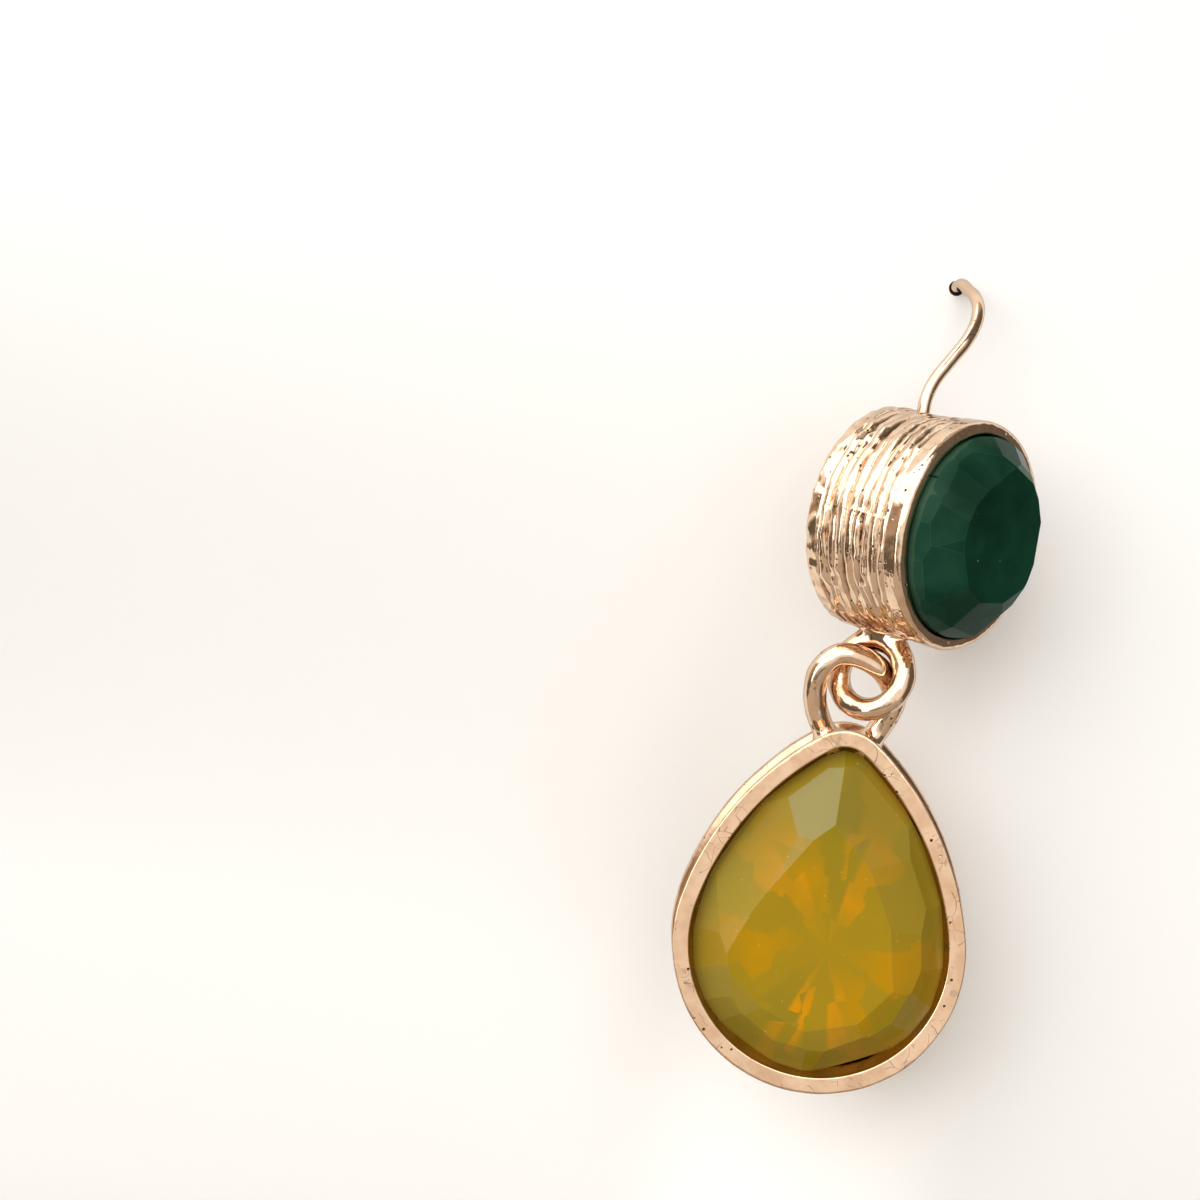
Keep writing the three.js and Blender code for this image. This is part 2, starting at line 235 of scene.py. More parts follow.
def catmull_rom(points, steps):
    """A centripetal curve through the points, with equally many steps on each stretch."""
    ends = [points[0] * 2 - points[1]] + points + [points[-1] * 2 - points[-2]]
    curve = []
    for i in range(1, len(points)):
        p0, p1, p2, p3 = ends[i - 1 : i + 3]
        d0, d1, d2 = ((b - a).length ** 0.5 for a, b in ((p0, p1), (p1, p2), (p2, p3)))
        m1 = ((p1 - p0) / d0 - (p2 - p0) / (d0 + d1) + (p2 - p1) / d1) * d1
        m2 = ((p2 - p1) / d1 - (p3 - p1) / (d1 + d2) + (p3 - p2) / d2) * d1
        for step in range(steps):
            t = step / steps
            curve.append(
                p1 * (2 * t**3 - 3 * t**2 + 1)
                + m1 * (t**3 - 2 * t**2 + t)
                + p2 * (3 * t**2 - 2 * t**3)
                + m2 * (t**3 - t**2)
            )
    curve.append(points[-1].copy())
    return curve


def tube_rings(path, radius_at, sides):
    """Rings of a round wire along a path, carried without twist."""
    tangents = [
        (path[min(i + 1, len(path) - 1)] - path[max(i - 1, 0)]).normalized()
        for i in range(len(path))
    ]
    side = tangents[0].orthogonal().normalized()
    rings = []
    for i, (centre, tangent) in enumerate(zip(path, tangents)):
        side = (side - tangent * side.dot(tangent)).normalized()
        other = tangent.cross(side)
        radius = radius_at(i / (len(path) - 1))
        ring = []
        for k in range(sides):
            angle = 2 * math.pi * k / sides
            ring.append(centre + (side * math.cos(angle) + other * math.sin(angle)) * radius)
        rings.append(ring)
    return rings


def hook_path():
    """The hook's centre line: out of the oval's top wall, an S bend, the arch and the rear leg."""
    up = Vector((0, 0, 1))
    turn = math.radians(ARCH_TURN)
    back = Vector((-math.sin(turn), math.cos(turn), 0))
    arch_centre = up * (WIRE_DIAMETER / 2 - ARCH_RADIUS)

    def on_arch(degrees):
        angle = math.radians(degrees)
        return arch_centre + (up * math.sin(angle) - back * math.cos(angle)) * ARCH_RADIUS

    oval_turn = math.radians(OVAL_TURN)
    facing = Vector((math.sin(oval_turn), -math.cos(oval_turn), 0))
    foot = OVAL_CENTRE - facing * FOOT_BACK + up * (OVAL_HEIGHT / 2 - OVAL_RIM)
    top = on_arch(90)
    bends = [
        Vector(a + (b - a) * share for a, b, share in zip(foot, top, (sway, backward, rise)))
        for rise, sway, backward in LEG_BENDS
    ]
    arch = [on_arch(degrees) for degrees in (90, 112, 134, 156, 178)]
    rear = on_arch(180)
    legs = [rear - up * REAR_LEG * share for share in (0.2, 0.65, 1.0)]
    legs[-1] += back * REAR_FLICK
    return catmull_rom([foot, *bends, *arch, *legs], 10)


def make_hook():
    """The hook's round wire, with a rounded tip."""
    path = hook_path()

    def radius_at(share):
        rounding = min(1.0, (1.0 - share) / 0.012)
        return WIRE_DIAMETER / 2 * math.sqrt(max(0.05, 1 - (1 - rounding) ** 2))

    rings = tube_rings(path, radius_at, 24)
    points, faces = bridge(rings)
    close_ends(rings, points, faces)
    return new_piece("ear_hook", points, faces)


def arc(centre_x, centre_z, radius, start, end, steps):
    """Points along an arc in the XZ plane, without its last point."""
    angles = [start + (end - start) * i / steps for i in range(steps)]
    return [(centre_x + radius * math.cos(a), centre_z + radius * math.sin(a)) for a in angles]


def pear_outline(offset):
    """A round bottom, two long flanks and a small round tip, all tangent to each other."""
    shoulder = math.radians(PEAR_SHOULDER)
    tip_centre = PEAR_TIP_HEIGHT - PEAR_TIP_RADIUS
    spread = PEAR_RADIUS - PEAR_TIP_RADIUS
    reach = (tip_centre**2 - spread**2) / (2 * (spread - tip_centre * math.sin(shoulder)))
    flank_radius = PEAR_RADIUS + reach
    flank_x = -reach * math.cos(shoulder)
    flank_z = -reach * math.sin(shoulder)
    tip = math.atan2(tip_centre - flank_z, -flank_x)
    return [
        *arc(flank_x, flank_z, flank_radius + offset, shoulder, tip, 90),
        *arc(0, tip_centre, PEAR_TIP_RADIUS + offset, tip, math.pi - tip, 36),
        *arc(-flank_x, flank_z, flank_radius + offset, math.pi - tip, math.pi - shoulder, 90),
        *arc(0, 0, PEAR_RADIUS + offset, math.pi - shoulder, 2 * math.pi + shoulder, 200),
    ]


def oval_outline(offset, sides=560):
    """An ellipse, drawn out by an offset."""
    angles = [2 * math.pi * i / sides for i in range(sides)]
    wide, high = OVAL_WIDTH / 2 + offset, OVAL_HEIGHT / 2 + offset
    return [(wide * math.cos(a), high * math.sin(a)) for a in angles]


def round_corner(offset, depth, radius, start, end, steps=5):
    """Stations (offset, depth) round a corner; the angle runs from outward (0) to frontward (90)."""
    angles = [math.radians(start + (end - start) * i / steps) for i in range(steps + 1)]
    return [(offset + radius * math.cos(a), depth + radius * math.sin(a)) for a in angles]


def spread_stations(first, last, count):
    """Stations evenly spread between two, without its ends."""
    return [
        tuple(a + (b - a) * (i + 1) / (count + 1) for a, b in zip(first, last)) for i in range(count)
    ]


def cup(name, outline, depth, stations, relief, place):
    """A cup lofted through stations (offset, depth from the back), with relief along its outside."""
    rings = []
    hollows = []
    for offset, from_back in stations:
        ring = []
        for (x, z), (out_x, out_z) in zip(outline(offset), outline(offset + 1.0)):
            push = relief(x, z, offset, from_back)
            hollows.append(push)
            ring.append(
                Vector((x + (out_x - x) * push, depth / 2 - from_back, z + (out_z - z) * push))
            )
        rings.append(ring)
    points, faces = bridge(rings)
    close_ends(rings, points, faces)
    obj = new_piece(name, points, faces, place)
    # Painted shade: the deeper a groove of the relief lies, the browner the metal there is painted, kept in
    # the mesh's hollow colour
    shade = obj.data.color_attributes.new("hollow", "FLOAT_COLOR", "POINT")
    for index, hollow in enumerate(hollows):
        depth_share = smooth_step(HOLLOW_STARTS, HOLLOW_FULL, -hollow)
        shade.data[index].color = (depth_share, depth_share, depth_share, 1)
    return obj


def smooth_step(low, high, value):
    t = min(1.0, max(0.0, (value - low) / (high - low)))
    return t * t * (3 - 2 * t)


def seat_stations(opening, depth):
    """From the rim's inner edge down past the seat to the floor of the cup."""
    seat = depth - GIRDLE - 0.6
    floor = opening - SEAT_WIDTH
    return [
        (opening, seat),
        (floor, seat - SEAT_DROP),
        (floor, BACK_PLATE),
        (floor - 0.9, BACK_PLATE),
    ]


def groove_profile(across, turn):
    """How deep the wall lies at a share of the ribbed width, between round ribs of uneven width."""
    lines = []
    for index, (share, depth, wander) in enumerate(GROOVES):
        seed = index * 5.3
        share += wander * 1.5 * noise.noise(Vector((turn.x * 1.7, turn.y * 1.7, seed)))
        share += wander * 0.8 * noise.noise(Vector((turn.x * 6.5, turn.y * 6.5, seed + 2)))
        uneven = 0.75 + 0.7 * noise.noise(Vector((turn.x * 3.1, turn.y * 3.1, seed + 4)))
        shallow_top = 1 - 0.45 * smooth_step(0.55, 1.0, turn.y)
        lines.append((share, depth * min(1.0, max(0.3, uneven)) * shallow_top))
    for (low, low_depth), (high, high_depth) in zip(lines, lines[1:]):
        if low <= across <= high:
            t = (across - low) / max(1e-6, high - low)
            depth = low_depth + (high_depth - low_depth) * smooth_step(0.2, 0.8, t)
            return -depth * (1 - math.sqrt(max(0.0, 1 - abs(2 * t - 1) ** 2.1)))
    return -lines[0][1] if across < lines[0][0] else -lines[-1][1]


def oval_relief(x, z, offset, from_back):
    """Irregular hammered ribs round the middle of the wall, and slight dents elsewhere."""
    if offset < -OVAL_RIM * 0.9:
        return 0.0
    ribbed = OVAL_DEPTH - FLANGE - FRONT_BAND
    across = (from_back - FLANGE) / ribbed
    turn = Vector((x / OVAL_WIDTH, z / OVAL_HEIGHT)) * 2
    dents = 0.035 * noise.noise(Vector((x * 0.8, z * 0.8, from_back * 0.9)))
    if not 0 <= across <= 1:
        melted = 0.10 * noise.noise(Vector((x * 1.5, z * 1.5, from_back * 1.5 + 20)))
        return dents + (melted if across < 0 else 0.2 * melted)
    around = math.atan2(turn.y, turn.x) * OVAL_WIDTH / 2
    beads = noise.noise(Vector((around * 1.25, across * 9, 3)))
    beaded = smooth_step(-0.15, 0.35, noise.noise(Vector((around * 0.35, across * 4, 11))))
    melt = 0.06 * noise.noise(Vector((around * 0.55, across * 3.0, 17)))
    height = groove_profile(across, turn) + 0.17 * beads * beaded + melt
    return height - WAIST * math.sin(math.pi * across) + dents


def make_oval_setting():
    """The deep cup with its back flange, ribbed wall and rounded rim."""
    lip = 0.42
    inner_lip = 0.2
    back_edge = 0.15
    stations = [
        (-5.5, 0.0),
        (-2.0, 0.0),
        *round_corner(-back_edge, back_edge, back_edge, -90, 0),
        *spread_stations((0.0, back_edge), (0.0, OVAL_DEPTH - lip), 122),
        *round_corner(-lip, OVAL_DEPTH - lip, lip, 0, 90),
        *round_corner(-OVAL_RIM + inner_lip, OVAL_DEPTH - inner_lip, inner_lip, 90, 180),
        *seat_stations(-OVAL_RIM, OVAL_DEPTH),
    ]
    return cup("oval_cup", oval_outline, OVAL_DEPTH, stations, oval_relief, OVAL_PLACE)


def pear_relief(x, z, offset, from_back):
    """The slight waist and flare of the wall, and the small dents of handwork."""
    if offset < PEAR_RIM * 0.1:
        return 0.0
    dents = 0.03 * noise.noise(Vector((x * 0.55, z * 0.55, from_back * 0.9)))
    return dents + 0.035 * math.sin(2 * math.pi * from_back / 1.15)


def make_pear_setting():
    """The shallow cup with its flared back edge, slight waist and flat rim."""
    rim, flare, waist = PEAR_RIM, PEAR_RIM + PEAR_FLARE, PEAR_RIM - PEAR_WAIST
    lip = 0.12
    stations = [
        (-1.5, 0.0),
        *round_corner(flare - lip, lip, lip, -90, 0),
        (flare, BACK_PLATE - lip),
        *spread_stations((flare, BACK_PLATE - lip), (waist, BACK_PLATE + PEAR_FLARE), 4),
        (waist, BACK_PLATE + PEAR_FLARE),
        *spread_stations((waist, BACK_PLATE + PEAR_FLARE), (waist, PEAR_DEPTH - BACK_PLATE), 30),
        (waist, PEAR_DEPTH - BACK_PLATE),
        (rim, PEAR_DEPTH - lip - PEAR_WAIST),
        *round_corner(rim - lip, PEAR_DEPTH - lip, lip, 0, 90),
        *spread_stations((rim - lip, PEAR_DEPTH), (lip, PEAR_DEPTH), 8),
        *round_corner(lip, PEAR_DEPTH - lip, lip, 90, 180),
        *seat_stations(0.0, PEAR_DEPTH),
    ]
    return cup("pear_cup", pear_outline, PEAR_DEPTH, stations, pear_relief, PEAR_PLACE)


def paint_crevice_shade(obj, distance):
    """Paints shade, as a browning, into a piece's crevices where it comes close to another one."""
    points = np.empty(len(obj.data.vertices) * 3, np.float32)
    obj.data.vertices.foreach_get("co", points)
    gaps = distance(points.reshape(-1, 1, 1, 3) / MM).ravel()
    shade = obj.data.color_attributes.get("hollow")
    if shade is None:
        shade = obj.data.color_attributes.new("hollow", "FLOAT_COLOR", "POINT")
        shade.data.foreach_set("color", np.zeros(len(shade.data) * 4, np.float32))
    for item, gap in zip(shade.data, gaps):
        near = CREVICE_SHADE * (1 - smooth_step(0.0, CREVICE, gap))
        share = max(item.color[0], near)
        item.color = (share, share, share, 1)


def grid_points(low, high):
    """The points of an even grid between two corners, in millimetres."""
    axes = [np.arange(low[i], high[i] + GRID_STEP, GRID_STEP) for i in range(3)]
    return np.stack(np.meshgrid(*axes, indexing="ij"), axis=-1).astype(np.float32)


def wire_distance(grid, path, radius, closed=True):
    """Distance from a round wire along a path."""
    distance = np.full(grid.shape[:3], 1e3, np.float32)
    ends = path[1:] + path[:1] if closed else path[1:]
    for start, end in zip(path, ends):
        start, end = np.array(start, np.float32), np.array(end, np.float32)
        along = end - start
        share = np.clip(((grid - start) @ along) / (along @ along), 0, 1)
        gap = grid - start - share[..., None] * along
        np.minimum(distance, np.sqrt((gap * gap).sum(-1)), out=distance)
    return distance - radius


def local_points(grid, place):
    """The grid's points in the local frame of a placement."""
    inverse = np.array(place.inverted(), np.float32)
    return grid @ inverse[:3, :3].T + inverse[:3, 3]


def oval_wall_distance(grid, inset):
    """Distance from the oval setting's outer wall, drawn in by an inset."""
    local = local_points(grid, OVAL_PLACE)
    half = np.array((OVAL_WIDTH / 2 - inset, OVAL_HEIGHT / 2 - inset), np.float32)
    around = np.sqrt(((local[..., ::2] / half) ** 2).sum(-1))
    return np.maximum((around - 1) * half[1], abs(local[..., 1]) - OVAL_DEPTH / 2 + 0.4)


def pear_tip_distance(grid, inset):
    """Distance from the round tip of the pear setting's outer wall, drawn in by an inset."""
    local = local_points(grid, PEAR_PLACE)
    local[..., 2] -= PEAR_TIP_HEIGHT - PEAR_TIP_RADIUS
    radius = PEAR_TIP_RADIUS + PEAR_RIM - inset
    return np.maximum(
        np.sqrt((local[..., ::2] ** 2).sum(-1)) - radius, abs(local[..., 1]) - PEAR_DEPTH / 2 + 0.5
    )


def ball_distance(grid, centre, radius):
    gap = grid - np.array(centre, np.float32)
    return np.sqrt((gap * gap).sum(-1)) - radius


def blend_union(a, b, soft):
    """The union of two distances with a fillet as wide as soft."""
    mix = np.clip(0.5 + 0.5 * (b - a) / soft, 0, 1)
    return b + (a - b) * mix - soft * mix * (1 - mix)


def distance_piece(name, grid, distance, place=None):
    """The mesh of the surface where a distance on a grid is zero."""
    volume = openvdb.FloatGrid(1.0)
    volume.copyFromArray(distance.astype(np.float32), tolerance=0.0)
    points, triangles, quads = volume.convertToPolygons(isovalue=0.0, adaptivity=0.0)
    origin = Vector(grid[0, 0, 0])
    points = [origin + Vector(map(float, point)) * GRID_STEP for point in points]
    faces = [tuple(map(int, f)) for f in triangles] + [tuple(map(int, f)) for f in quads]
    return new_piece(name, points, faces, place)


def grid_round(path, margin):
    """A grid round a path, wide enough for its wire."""
    low = [min(point[i] for point in path) - margin for i in range(3)]
    high = [max(point[i] for point in path) + margin for i in range(3)]
    return grid_points(low, high)


def hammered(grid):
    """The slight waves of a hand-bent wire."""
    waves = np.sin(grid[..., 0] * 2.3 + 1.0) * np.sin(grid[..., 2] * 2.9) * np.sin(grid[..., 1] * 2.1)
    return waves * WIRE_WAVES


def upper_loop_path():
    """The centre line of the upper loop, a whole circle."""
    steps = 48
    turns = [2 * math.pi * i / steps for i in range(steps)]
    return [
        UPPER_LOOP_PLACE @ (Vector((math.cos(a), 0, math.sin(a))) * UPPER_LOOP_RADIUS) for a in turns
    ]


def make_upper_loop(path):
    """A ring, drowned in solder where it meets the oval setting's wall."""
    grid = grid_round(path, 1.5)
    joint = UPPER_LOOP_CENTRE + Vector((0.0, 0.1, UPPER_LOOP_RADIUS + 0.45))
    wall = np.maximum(oval_wall_distance(grid, 0.3), ball_distance(grid, joint, 1.9))
    wire = wire_distance(grid, path, LOOP_WIRE / 2) + hammered(grid)
    return distance_piece("upper_loop", grid, blend_union(wire, wall, UPPER_FILLET))


def lower_loop_path():
    """The centre line of the lower loop, from its left foot to its right one."""
    bends = [
        PEAR_TIP + Vector((
            LOWER_LOOP_WIDTH * side, -LOWER_LOOP_REACH * reach, LOWER_LOOP_HEIGHT * rise,
        ))
        for side, reach, rise in LOWER_LOOP_BENDS
    ]
    return catmull_rom(bends, 7)


def make_lower_loop(path):
    """An open loop whose feet are soldered to the pear's tip, with a mound of solder between them."""
    grid = grid_round(path, 1.6)
    wire = wire_distance(grid, path, LOOP_WIRE / 2, closed=False) + hammered(grid)
    wall = pear_tip_distance(grid, 0.2)
    feet = np.minimum(ball_distance(grid, path[0], 1.5), ball_distance(grid, path[-1], 1.7))
    mound = ball_distance(grid, PEAR_TIP + Vector((-0.1, 0.5, -0.25)), 0.95)
    solder = blend_union(np.maximum(wall, feet), mound, MOUND_FILLET)
    return distance_piece("lower_loop", grid, blend_union(wire, solder, LOWER_FILLET))


def girdle_cuts(count, outline):
    """A second row of steeper facets round the outline, a little uneven as in hand cutting."""
    cuts = []
    for i in range(count):
        azimuth = 360 * (i + 0.5) / count + 5 * noise.noise(Vector((i * 0.7, count, 0)))
        turn = math.radians(azimuth)
        support = max(x * math.cos(turn) + z * math.sin(turn) for x, z in outline(0.0))
        slope = GIRDLE_SLOPE + 9 * noise.noise(Vector((i * 0.9, count, 4)))
        reach = support - GIRDLE_REACH + 0.3 * noise.noise(Vector((i * 1.3, count, 8)))
        # Painted reflection: how pale the stone looks through each of these facets, varied at random
        tone = 0.11 + 0.30 * noise.noise(Vector((i * 1.7, count, 12)))
        cuts.append((azimuth, reach, slope, tone))
    return cuts


def blank_stations(edge_offset, girdle_depth, table_depth):
    """Stations of an uncut stone: a straight skirt, a round shoulder and a steep cone above it."""
    shoulder = 0.5
    bottom = girdle_depth - 1.2
    cone = [(edge_offset - 1.6, table_depth + 0.3), (edge_offset - 3.0, table_depth + 0.3)]
    return [
        (edge_offset - 1.0, bottom),
        (edge_offset, bottom + 0.4),
        *round_corner(edge_offset - shoulder, girdle_depth, shoulder, 0, 62, 8),
        *cone,
    ]


def cut_gem(name, outline, edge_offset, girdle_depth, table_depth, depth, cuts, table_tone, place):
    """A rounded blank cut flat by the table and by each facet (azimuth, reach, slope, tone).

    The reach is how far from the middle a facet's plane meets the table's height. The tone is how pale the
    stone looks through that facet, painted light standing in for the reflections in it, and is kept in the
    mesh's facet_tone. The rounded edges between facets are given a pale tone as painted highlights.
    """
    rings = [
        [Vector((x, depth / 2 - from_back, z)) for x, z in outline(offset)]
        for offset, from_back in blank_stations(edge_offset, girdle_depth, table_depth)
    ]
    points, faces = bridge(rings)
    close_ends(rings, points, faces)
    obj = new_piece(name, points, faces)
    mesh = bmesh.new()
    mesh.from_mesh(obj.data)
    tones = mesh.faces.layers.float.new("tone")
    for face in mesh.faces:
        face[tones] = BLANK_TONE
    bmesh.ops.scale(mesh, vec=(1 / MM,) * 3, verts=mesh.verts)
    table_y = depth / 2 - table_depth
    planes = [(Vector((0, table_y, 0)), Vector((0, -1, 0)), table_tone)]
    for azimuth, reach, slope, tone in cuts:
        turn, tilt = math.radians(azimuth), math.radians(slope)
        outward = Vector((math.cos(turn), 0, math.sin(turn)))
        through = outward * reach + Vector((0, table_y, 0))
        planes.append((through, outward * math.sin(tilt) + Vector((0, -math.cos(tilt), 0)), tone))
    for through, normal, tone in planes:
        cut = bmesh.ops.bisect_plane(
            mesh,
            geom=mesh.verts[:] + mesh.edges[:] + mesh.faces[:],
            dist=1e-4,
            plane_co=through,
            plane_no=normal,
            clear_outer=True,
        )
        edges = [e for e in cut["geom_cut"] if isinstance(e, bmesh.types.BMEdge)]
        if edges:
            filled = bmesh.ops.edgeloop_fill(mesh, edges=edges)
            for face in filled["faces"]:
                face.smooth = False
                face[tones] = tone
                for edge in face.edges:
                    edge.smooth = False
    bmesh.ops.recalc_face_normals(mesh, faces=mesh.faces)
    bmesh.ops.dissolve_degenerate(mesh, dist=1e-3, edges=mesh.edges)
    creases = [
        edge for edge in mesh.edges
        if not edge.smooth and len(edge.link_faces) == 2 and edge.calc_face_angle() > EDGE_ANGLE
    ]
    # Painted highlights: the thin rounded edges between facets get a pale tone
    highlit_edges = bmesh.ops.bevel(mesh, geom=creases, offset=EDGE_WIDTH, segments=1, affect="EDGES")
    for face in highlit_edges["faces"]:
        face.smooth = False
        face[tones] = EDGE_TONE
    bmesh.ops.transform(mesh, matrix=Matrix.Scale(MM, 4) @ place, verts=mesh.verts)
    mesh.to_mesh(obj.data)
    mesh.free()
    face_tones = [item.value for item in obj.data.attributes["tone"].data]
    shade = obj.data.color_attributes.new("facet_tone", "FLOAT_COLOR", "CORNER")
    for polygon, tone in zip(obj.data.polygons, face_tones):
        for corner in polygon.loop_indices:
            shade.data[corner].color = (tone, tone, tone, 1)
    return obj


def node_material(name):
    material = bpy.data.materials.new(name)
    material.use_nodes = True
    return material, material.node_tree.nodes, material.node_tree.links


def linked(nodes, links, kind, **inputs):
    """A new shader node whose named inputs are set to values or linked to sockets."""
    node = nodes.new(kind)
    for name, value in inputs.items():
        socket = node.inputs[name.replace("_", " ")]
        if isinstance(value, bpy.types.NodeSocket):
            links.new(value, socket)
        else:
            socket.default_value = value
    return node


def millimetres(nodes, links):
    """The piece's own coordinates, in millimetres."""
    place = nodes.new("ShaderNodeTexCoord")
    scale = nodes.new("ShaderNodeVectorMath")
    scale.operation = "SCALE"
    scale.inputs["Scale"].default_value = 1 / MM
    links.new(place.outputs["Object"], scale.inputs[0])
    return scale.outputs[0]


def mapped(nodes, links, value, low, high, to_low=0.0, to_high=1.0):
    """A value carried from one range to another, with soft ends."""
    node = nodes.new("ShaderNodeMapRange")
    node.interpolation_type = "SMOOTHSTEP"
    links.new(value, node.inputs["Value"])
    for name, number in (
        ("From Min", low), ("From Max", high), ("To Min", to_low), ("To Max", to_high),
    ):
        node.inputs[name].default_value = number
    return node.outputs["Result"]


def mapped_linear(nodes, links, value, low, high, to_low=0.0, to_high=1.0):
    """A value carried from one range to another, with hard ends."""
    socket = mapped(nodes, links, value, low, high, to_low, to_high)
    socket.node.interpolation_type = "LINEAR"
    return socket


def tinted(nodes, links, factor, colour_a, colour_b):
    """One colour mixed into another by a factor that varies over the surface."""
    node = nodes.new("ShaderNodeMix")
    node.data_type = "RGBA"
    links.new(factor, node.inputs["Factor"])
    colours = [socket for socket in node.inputs if socket.type == "RGBA"]
    for socket, colour in zip(colours, (colour_a, colour_b)):
        if isinstance(colour, bpy.types.NodeSocket):
            links.new(colour, socket)
        else:
            socket.default_value = (*colour, 1)
    return next(socket for socket in node.outputs if socket.type == "RGBA")


def bumped(nodes, links, height, depth_mm, normal=None):
    """A normal tilted by a height, on top of another normal."""
    node = nodes.new("ShaderNodeBump")
    node.inputs["Distance"].default_value = depth_mm * MM
    links.new(height, node.inputs["Height"])
    if normal is not None:
        links.new(normal, node.inputs["Normal"])
    return node.outputs["Normal"]


def attribute(nodes, name):
    """The first channel of a colour kept in the mesh."""
    node = nodes.new("ShaderNodeAttribute")
    node.attribute_name = name
    return node.outputs["Fac"]


def calculated(nodes, links, operation, a, b):
    """One maths step between two sockets or numbers that vary over the surface."""
    node = nodes.new("ShaderNodeMath")
    node.operation = operation
    for socket, value in zip(node.inputs, (a, b)):
        if isinstance(value, bpy.types.NodeSocket):
            links.new(value, socket)
        else:
            socket.default_value = value
    return node.outputs[0]


def along(nodes, links, place, centre, direction):
    """Distance in millimetres from a centre along a direction."""
    node = nodes.new("ShaderNodeVectorMath")
    node.operation = "DOT_PRODUCT"
    links.new(place, node.inputs[0])
    node.inputs[1].default_value = direction
    return calculated(nodes, links, "SUBTRACT", node.outputs["Value"], centre.dot(direction))


def rose_gold(name, deep, pale, dents, dent_size, grain, pits, wear, roughness=0.09):
    """Polished rose gold in two tones, with soft dents, a fine grain and dark casting pits.

    Painted shade browns it where it turns away from the view, and where the mesh's "hollow" colour marks
    its grooves and crevices.
    """
    material, nodes, links = node_material(name)
    shader = nodes["Principled BSDF"]
    place = millimetres(nodes, links)
    soft = linked(nodes, links, "ShaderNodeTexNoise", Vector=place, Scale=1 / dent_size, Detail=2.0)
    fine = linked(nodes, links, "ShaderNodeTexNoise", Vector=place, Scale=6.0, Detail=3.0)
    holes = linked(nodes, links, "ShaderNodeTexVoronoi", Vector=place, Scale=1.7)
    where = linked(nodes, links, "ShaderNodeTexNoise", Vector=place, Scale=0.7, Detail=1.0)
    smear = linked(
        nodes, links, "ShaderNodeTexNoise", Vector=place, Scale=0.9, Detail=4.0, Distortion=0.8
    )
    pit = mapped(nodes, links, holes.outputs["Distance"], 0.10, 0.19, 1.0, 0.0)
    some = mapped(nodes, links, where.outputs["Fac"], 0.62 - 0.2 * pits, 0.68 - 0.2 * pits)
    pit = calculated(nodes, links, "MULTIPLY", pit, some)
    full = mapped(nodes, links, pit, 0.0, 1.0, 1.0, 0.0)
    normal = bumped(nodes, links, soft.outputs["Fac"], dents)
    normal = bumped(nodes, links, fine.outputs["Fac"], grain, normal)
    normal = bumped(nodes, links, full, 0.05, normal)
    links.new(normal, shader.inputs["Normal"])
    shade = mapped(nodes, links, soft.outputs["Fac"], 0.3, 0.7)
    colour = tinted(nodes, links, shade, deep, pale)
    grey = mapped(nodes, links, smear.outputs["Fac"], 0.68 - 0.09 * wear, 0.72 - 0.09 * wear, 0, 0.55)
    colour = tinted(nodes, links, grey, colour, (0.42, 0.31, 0.23))
    colour = tinted(nodes, links, scratches(nodes, links, place, wear), colour, (0.24, 0.13, 0.07))
    # Painted shade: brown where the mesh's hollow colour marks a groove or a crevice between pieces
    hollow = attribute(nodes, "hollow")
    colour = tinted(nodes, links, hollow, colour, (0.34, 0.19, 0.10))
    colour = tinted(nodes, links, pit, colour, (0.10, 0.045, 0.02))
    # Painted shade: browner where the surface turns away from the view, as along the edges of wires and
    # ribs
    turning = nodes.new("ShaderNodeLayerWeight")
    away = mapped(nodes, links, turning.outputs["Facing"], 0.42, 0.86, 0.0, 0.8)
    colour = tinted(nodes, links, away, colour, (0.27, 0.14, 0.065))
    links.new(colour, shader.inputs["Base Color"])
    shader.inputs["Metallic"].default_value = 1.0
    shader.inputs["Roughness"].default_value = roughness
    return material


def scratches(nodes, links, place, wear):
    """Thin crossing scratches, where a slow noise lets them show."""
    bent = linked(nodes, links, "ShaderNodeTexNoise", Vector=place, Scale=0.6, Detail=1.0)
    shifted = nodes.new("ShaderNodeVectorMath")
    shifted.operation = "MULTIPLY_ADD"
    links.new(bent.outputs["Color"], shifted.inputs[0])
    shifted.inputs[1].default_value = (1.6, 1.6, 1.6)
    links.new(place, shifted.inputs[2])
    cells = nodes.new("ShaderNodeTexVoronoi")
    cells.feature = "DISTANCE_TO_EDGE"
    cells.inputs["Scale"].default_value = 0.75
    links.new(shifted.outputs[0], cells.inputs["Vector"])
    line = mapped(nodes, links, cells.outputs["Distance"], 0.004, 0.015, 0.7, 0.0)
    where = linked(nodes, links, "ShaderNodeTexNoise", Vector=place, Scale=0.45, Detail=2.0)
    shown = mapped(nodes, links, where.outputs["Fac"], 0.60 - 0.14 * wear, 0.64 - 0.14 * wear)
    return calculated(nodes, links, "MULTIPLY", line, shown)


def specks(nodes, links, place, colour, scale, size, speck_colour):
    """Small pale inclusions scattered in a stone's colour."""
    dots = linked(nodes, links, "ShaderNodeTexVoronoi", Vector=place, Scale=scale)
    dot = mapped(nodes, links, dots.outputs["Distance"], size * 0.5, size, 1.0, 0.0)
    return tinted(nodes, links, dot, colour, speck_colour)


